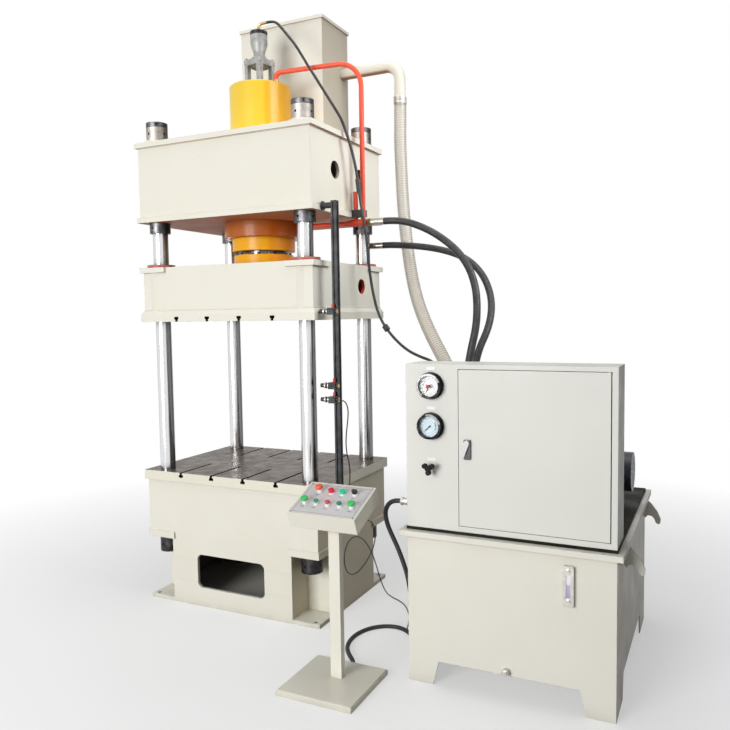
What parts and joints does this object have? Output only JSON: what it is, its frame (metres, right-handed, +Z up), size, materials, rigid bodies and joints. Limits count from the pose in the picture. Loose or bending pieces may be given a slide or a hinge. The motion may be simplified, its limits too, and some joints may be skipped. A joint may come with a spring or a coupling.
{
  "type": "four-column hydraulic press",
  "caption": "Upright four-column hydraulic press with a hollow base, moving slide, top cylinder and overhead tank, beside its power pack and a control console on a stand.",
  "frame": {"origin": "on the floor, under the middle of the press bed", "axes": "+X to the right along the front of the press, +Y to its back, +Z up"},
  "size_m": [3.0515, 1.808, 3.771],
  "materials": {
    "cream_paint": "satin enamel on welded steel plate",
    "bed_steel": "oiled, planed steel, brownish and glossy",
    "column_chrome": "hard chrome, ground bright",
    "nut_steel": "turned steel, lightly oiled",
    "blackened_steel": "blackened steel",
    "yellow_paint": "gloss yellow enamel",
    "dark_grey_iron": "painted dark grey casting",
    "red_rubber": "red polyurethane",
    "valve_casting": "grey valve casting",
    "red_paint": "gloss orange-red enamel",
    "black_plastic": "black moulding",
    "zinc_steel": "zinc-plated steel",
    "black_paint": "satin black paint",
    "switch_brass": "nickel-plated brass barrels",
    "dark_cover_paint": "dark oily paint",
    "cabinet_paint": "light grey powder coat",
    "lock_plastic": "light grey lever",
    "gauge_glass": "clear window",
    "motor_paint": "dark blue-grey paint",
    "panel_aluminium": "brushed aluminium panel",
    "white_plastic": "white collars",
    "red_plastic": "orange-red button",
    "green_plastic": "green button",
    "hose_rubber": "black rubber hose",
    "clear_hose": "clear hose with a steel helix",
    "conduit_plastic": "black corrugated conduit"
  },
  "bodies": {
    "frame": {"base_frame": "cream_paint", "table_plate": "bed_steel", "columns": "column_chrome", "crown_nuts": "nut_steel", "base_nuts": "blackened_steel", "crown": "cream_paint", "cylinder_body": "yellow_paint", "gland_ring": "yellow_paint", "prefill_valve": "valve_casting", "pilot_cylinder": "valve_casting", "overhead_tank": "cream_paint", "overhead_tank_lid": "cream_paint", "return_pipe": "cream_paint", "pressure_pipes": "red_paint", "pipe_clamp": "black_plastic", "hose_fittings": "zinc_steel", "limit_rail": "black_paint", "switch_clamps": "black_paint", "proximity_switches": "switch_brass", "oil_tank": "cream_paint", "tank_cover": "dark_cover_paint", "level_gauge": "zinc_steel", "cabinet": "cabinet_paint", "electrical_plate": "zinc_steel", "gauge_cases": "zinc_steel", "gauge_glasses": "gauge_glass", "throttle_valve": "zinc_steel", "motor": "motor_paint", "pump": "dark_grey_iron", "manifold": "blackened_steel", "console_stand": "cream_paint", "console_box": "cream_paint", "console_faceplate": "panel_aluminium", "button_collars": "white_plastic", "pressure_hose_upper": "hose_rubber", "pressure_hose_lower": "hose_rubber", "return_hose": "clear_hose", "pilot_hose": "hose_rubber", "console_conduit": "conduit_plastic", "sensor_cable": "conduit_plastic", "hose_clips": "hose_rubber"},
    "slide": {"slide_block": "cream_paint", "piston_rod": "column_chrome", "rod_flange": "yellow_paint", "guide_bushes": "dark_grey_iron", "wiper_rings": "red_rubber"},
    "poppet": {"prefill_poppet": "nut_steel"},
    "door": {"cabinet_door": "cabinet_paint"},
    "lock": {"door_latch": "lock_plastic"},
    "contact_pointer": {"contact_needle": "black_plastic"},
    "pressure_pointer": {"pressure_needle": "black_plastic"},
    "throttle_knob": {"star_knob": "black_plastic"},
    "rotor": {"motor_rotor": "nut_steel"},
    "estop": {"estop_button": "red_plastic"},
    "left_palm": {"left_palm_button": "green_plastic"},
    "green_push": {"green_button": "green_plastic"},
    "red_push": {"red_button": "red_plastic"},
    "dark_green_push": {"dark_green_button": "green_plastic"},
    "right_palm": {"right_palm_button": "green_plastic"},
    "selector": {"selector_knob": "black_plastic"}
  },
  "joints": [
    {"name": "slide_stroke", "type": "slide", "parent": "frame", "child": "slide", "axis": [0, 0, 1], "range_m": [-0.6, 0]},
    {"name": "prefill_lift", "type": "slide", "parent": "frame", "child": "poppet", "axis": [0, 0, 1], "range_m": [0, 0.012]},
    {"name": "door_hinge", "type": "hinge", "parent": "frame", "child": "door", "pos_m": [2.2675, -0.766, 1.18], "axis": [0, 0, 1], "range_deg": [0, 110]},
    {"name": "lock_turn", "type": "hinge", "parent": "door", "child": "lock", "pos_m": [1.633, -0.776, 1.208], "axis": [0, 1, 0], "range_deg": [0, 90]},
    {"name": "contact_pointer_turn", "type": "hinge", "parent": "frame", "child": "contact_pointer", "pos_m": [1.452, -0.797, 1.472], "axis": [0, 1, 0], "range_deg": [0, 270]},
    {"name": "pressure_pointer_turn", "type": "hinge", "parent": "frame", "child": "pressure_pointer", "pos_m": [1.452, -0.797, 1.279], "axis": [0, 1, 0], "range_deg": [0, 270]},
    {"name": "throttle_turn", "type": "hinge", "parent": "frame", "child": "throttle_knob", "pos_m": [1.452, -0.82, 1.081], "axis": [0, 1, 0], "continuous": true},
    {"name": "rotor_spin", "type": "hinge", "parent": "frame", "child": "rotor", "pos_m": [2.079, 0.02, 0.962], "axis": [1, 0, 0], "continuous": true},
    {"name": "selector_turn", "type": "hinge", "parent": "frame", "child": "selector", "pos_m": [1.102, -0.90271, 0.93887], "axis": [0, -0.373, 0.9278], "range_deg": [-45, 45]},
    {"name": "estop_press", "type": "slide", "parent": "frame", "child": "estop", "axis": [0, 0.373, -0.9278], "range_m": [0, 0.004], "stiffness_N_per_m": 2500, "springref_m": -0.002},
    {"name": "left_palm_press", "type": "slide", "parent": "frame", "child": "left_palm", "axis": [0, 0.373, -0.9278], "range_m": [0, 0.004], "stiffness_N_per_m": 2000, "springref_m": -0.002},
    {"name": "green_push_press", "type": "slide", "parent": "frame", "child": "green_push", "axis": [0, 0.373, -0.9278], "range_m": [0, 0.004], "stiffness_N_per_m": 1200, "springref_m": -0.002},
    {"name": "red_push_press", "type": "slide", "parent": "frame", "child": "red_push", "axis": [0, 0.373, -0.9278], "range_m": [0, 0.004], "stiffness_N_per_m": 1200, "springref_m": -0.002},
    {"name": "dark_green_push_press", "type": "slide", "parent": "frame", "child": "dark_green_push", "axis": [0, 0.373, -0.9278], "range_m": [0, 0.004], "stiffness_N_per_m": 1200, "springref_m": -0.002},
    {"name": "right_palm_press", "type": "slide", "parent": "frame", "child": "right_palm", "axis": [0, 0.373, -0.9278], "range_m": [0, 0.004], "stiffness_N_per_m": 2000, "springref_m": -0.002}
  ]
}
